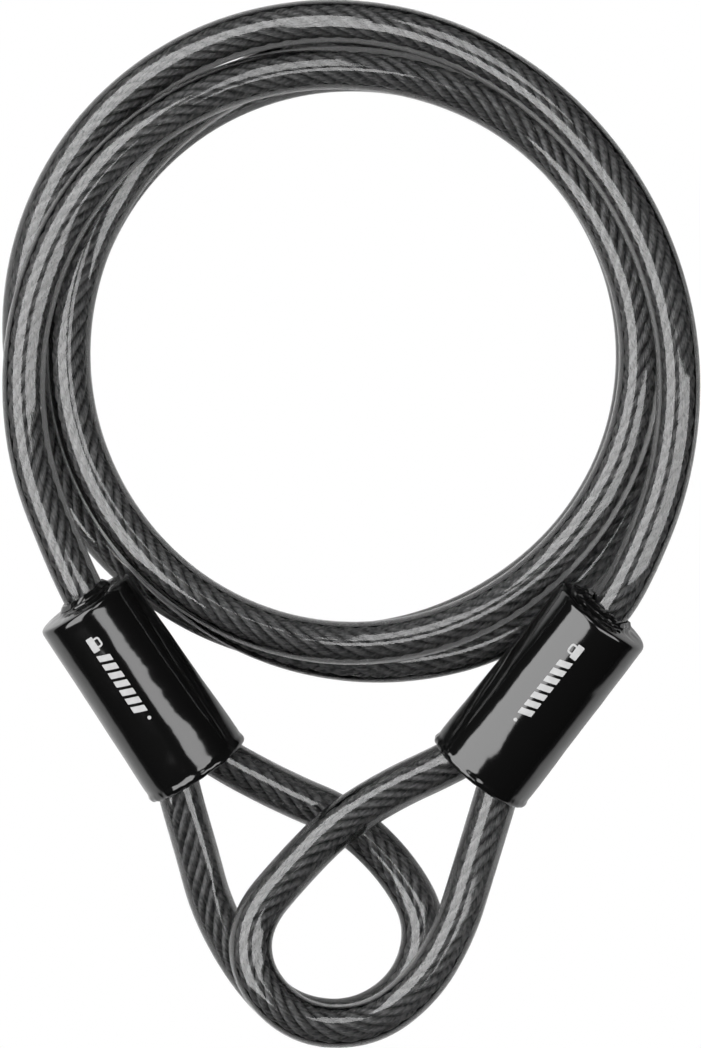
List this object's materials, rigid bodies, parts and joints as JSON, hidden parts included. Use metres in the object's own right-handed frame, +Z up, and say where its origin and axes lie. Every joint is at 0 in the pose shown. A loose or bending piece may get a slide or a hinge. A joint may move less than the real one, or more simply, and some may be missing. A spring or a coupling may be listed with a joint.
{
  "type": "cable lock",
  "caption": "Coiled security cable: a jacketed steel wire rope with an eye crimped at each end under a round cover, closed by a separate padlock or shackle lock.",
  "frame": {"origin": "middle of the lying object's box, on the surface that it rests on", "axes": "+X to the right, +Y from the eyes towards the coil, +Z up from the surface"},
  "size_m": [0.1606, 0.2408, 0.0388],
  "materials": {
    "rope_steel": "bright stranded wire",
    "tinted_pvc": "clear smoke tint, glossy",
    "ferrule_aluminium": "pressed, satin",
    "boot_vinyl": "soft, satin",
    "cover_vinyl": "dip-moulded, glossy"
  },
  "bodies": {
    "root": {"rope_core": "rope_steel", "rope_strands": "rope_steel", "main_jacket": "tinted_pvc", "left_eye_jacket": "tinted_pvc", "right_eye_jacket": "tinted_pvc", "left_ferrule": "ferrule_aluminium", "right_ferrule": "ferrule_aluminium", "left_boot": "boot_vinyl", "right_boot": "boot_vinyl", "left_cover": "cover_vinyl", "right_cover": "cover_vinyl"}
  },
  "joints": []
}
